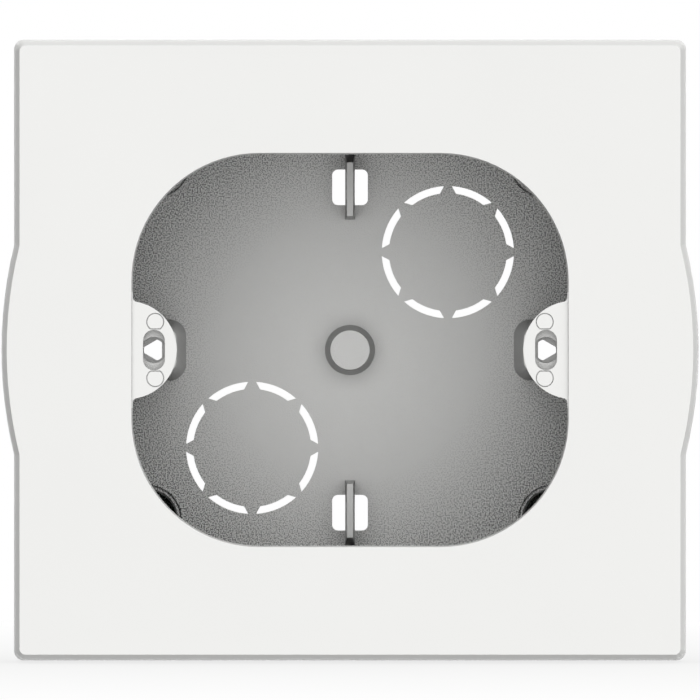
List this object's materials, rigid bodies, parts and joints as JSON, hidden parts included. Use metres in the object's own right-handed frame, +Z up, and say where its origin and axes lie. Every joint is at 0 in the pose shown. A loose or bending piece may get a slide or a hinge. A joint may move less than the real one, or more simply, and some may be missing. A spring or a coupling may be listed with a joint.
{
  "type": "switch box",
  "caption": "Surface-mounted switch box: a wall base with screw towers, cable knock-outs and tie bars, closed by a front frame with a round-cornered device opening.",
  "frame": {"origin": "centre of the box's back, on the wall plane", "axes": "+Z up the wall, +X to the right as seen from the front, +Y into the wall, so the front faces -Y"},
  "size_m": [0.1078, 0.044, 0.0958],
  "materials": {
    "frame_white": "white plastic, fine satin moulding",
    "base_white": "white plastic, matt spark-eroded moulding"
  },
  "bodies": {
    "root": {"front_frame": "frame_white", "wall_base": "base_white"}
  },
  "joints": []
}
